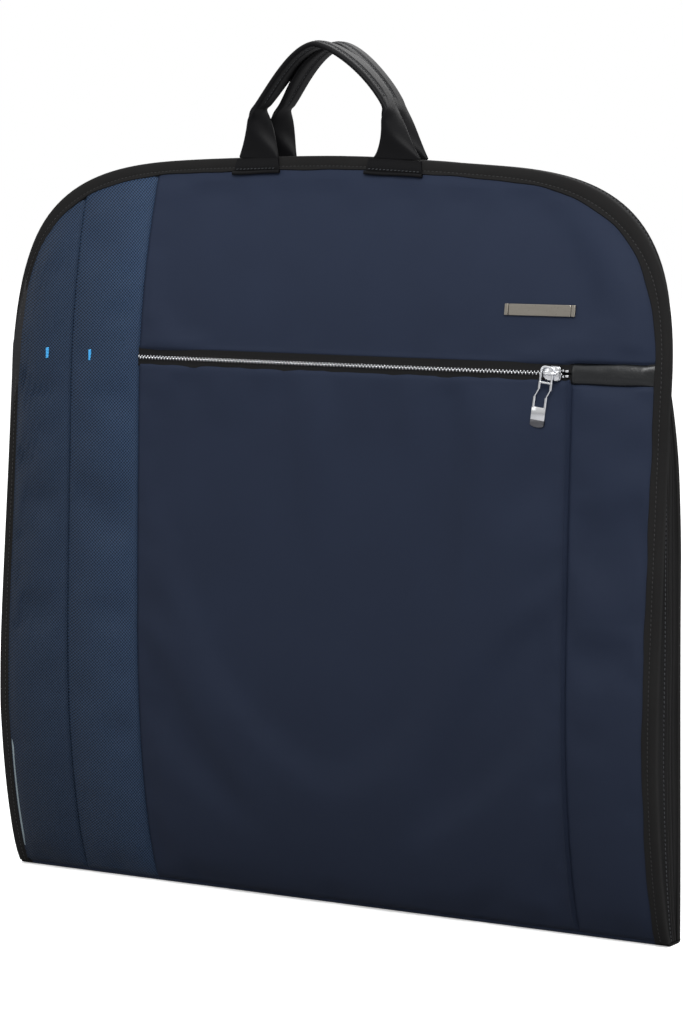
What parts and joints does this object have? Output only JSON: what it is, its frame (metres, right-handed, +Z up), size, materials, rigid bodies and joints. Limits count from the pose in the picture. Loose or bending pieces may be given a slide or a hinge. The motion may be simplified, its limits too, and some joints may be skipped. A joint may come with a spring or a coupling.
{
  "type": "garment bag",
  "caption": "Bi-fold garment bag in navy fabric with textured side strips, a zipped front pocket, twin carry handles and two halves that open flat along the fold at the foot.",
  "frame": {"origin": "middle of the foot, on the surface the folded bag stands on", "axes": "+Z up, -Y is the front with the pocket, +X to the right as seen from the front"},
  "size_m": [0.56, 0.0665, 0.6418],
  "materials": {
    "navy_fabric": "smooth coated polyester, satin, navy",
    "textured_fabric": "fine honeycomb weave in a brighter blue",
    "binding_tape": "black ribbed binding tape",
    "lining_fabric": "black taffeta lining",
    "zip_tape": "black woven zip tape",
    "zip_metal": "polished teeth",
    "slider_metal": "polished die-cast slider and puller",
    "dark_metal": "gunmetal painted die-cast",
    "badge_metal": "brushed warm grey plate",
    "leatherette": "black grained leatherette, semi-gloss",
    "handle_twill": "black satin twill webbing",
    "tack_thread": "bright blue thread",
    "piping_cord": "pale grey piping",
    "bracket_plastic": "black moulded nylon",
    "rivet_steel": "plain steel rivet"
  },
  "bodies": {
    "front_half": {"front_upper_panel": "navy_fabric", "front_pocket_panel": "navy_fabric", "front_side_panel": "navy_fabric", "textured_inner_strip": "textured_fabric", "textured_outer_strip": "textured_fabric", "bar_tacks": "tack_thread", "edge_piping": "piping_cord", "front_binding": "binding_tape", "front_gusset": "binding_tape", "front_inner_rim": "binding_tape", "front_lining_wide": "lining_fabric", "front_lining_narrow": "lining_fabric", "front_main_tapes": "zip_tape", "front_main_chain": "zip_metal", "pocket_bag": "lining_fabric", "pocket_tape_upper": "zip_tape", "pocket_tape_lower": "zip_tape", "pocket_chain": "zip_metal", "pocket_stops": "zip_metal", "zip_garage": "leatherette", "badge_plate": "badge_metal", "badge_washer": "dark_metal", "front_handle_tabs": "handle_twill"},
    "fold_spine": {"fold_strip": "navy_fabric", "fold_edge_tapes": "binding_tape"},
    "rear_half": {"rear_panel": "navy_fabric", "rear_binding": "binding_tape", "rear_gusset": "binding_tape", "rear_inner_rim": "binding_tape", "rear_lining_wide": "lining_fabric", "rear_lining_narrow": "lining_fabric", "rear_main_tapes": "zip_tape", "rear_main_chain": "zip_metal", "rear_main_stops": "zip_metal", "rear_handle_tabs": "handle_twill", "hanger_bracket": "bracket_plastic", "hanger_rivet": "rivet_steel", "garment_strap": "binding_tape", "strap_anchors": "bracket_plastic"},
    "pocket_slider": {"pocket_slider": "slider_metal", "pocket_slider_bridge": "slider_metal"},
    "pocket_puller": {"pocket_puller": "slider_metal"},
    "front_handle": {"front_handle_legs": "handle_twill", "front_handle_grip": "handle_twill"},
    "rear_handle": {"rear_handle_legs": "handle_twill", "rear_handle_grip": "handle_twill"},
    "main_slider": {"main_slider": "dark_metal", "main_slider_bridge": "dark_metal"},
    "main_puller": {"main_puller": "dark_metal"},
    "hanger_latch": {"hanger_latch": "bracket_plastic"}
  },
  "joints": [
    {"name": "fold_front", "type": "hinge", "parent": "front_half", "child": "fold_spine", "pos_m": [0, -0.009, 0], "axis": [-1, 0, 0], "range_deg": [0, 90]},
    {"name": "fold_rear", "type": "hinge", "parent": "fold_spine", "child": "rear_half", "pos_m": [0, 0.009, 0], "axis": [-1, 0, 0], "range_deg": [0, 90]},
    {"name": "pocket_zip", "type": "slide", "parent": "front_half", "child": "pocket_slider", "axis": [-1, 0, 0], "range_m": [0, 0.334]},
    {"name": "pocket_puller_swing", "type": "hinge", "parent": "pocket_slider", "child": "pocket_puller", "pos_m": [0.194, -0.04536, 0.405], "axis": [0, 1, 0], "range_deg": [-50, 35]},
    {"name": "front_handle_fold", "type": "hinge", "parent": "front_half", "child": "front_handle", "pos_m": [0, -0.0153, 0.5558], "axis": [1, 0, 0], "range_deg": [0, 140]},
    {"name": "rear_handle_fold", "type": "hinge", "parent": "rear_half", "child": "rear_handle", "pos_m": [0, 0.0093, 0.5558], "axis": [-1, 0, 0], "range_deg": [0, 140]},
    {"name": "main_zip", "type": "slide", "parent": "rear_half", "child": "main_slider", "axis": [0, 0, -1], "range_m": [0, 0.355]},
    {"name": "main_puller_swing", "type": "hinge", "parent": "main_slider", "child": "main_puller", "pos_m": [0.175, -0.01979, 0.475], "axis": [0, 1, 0], "range_deg": [-35, 35]},
    {"name": "hanger_latch_turn", "type": "hinge", "parent": "rear_half", "child": "hanger_latch", "pos_m": [0.018, -0.0057, 0.458], "axis": [0, 1, 0], "range_deg": [0, 80]}
  ],
  "couplings": [
    {"joint": "fold_rear", "follows": "fold_front", "ratio": 1}
  ]
}
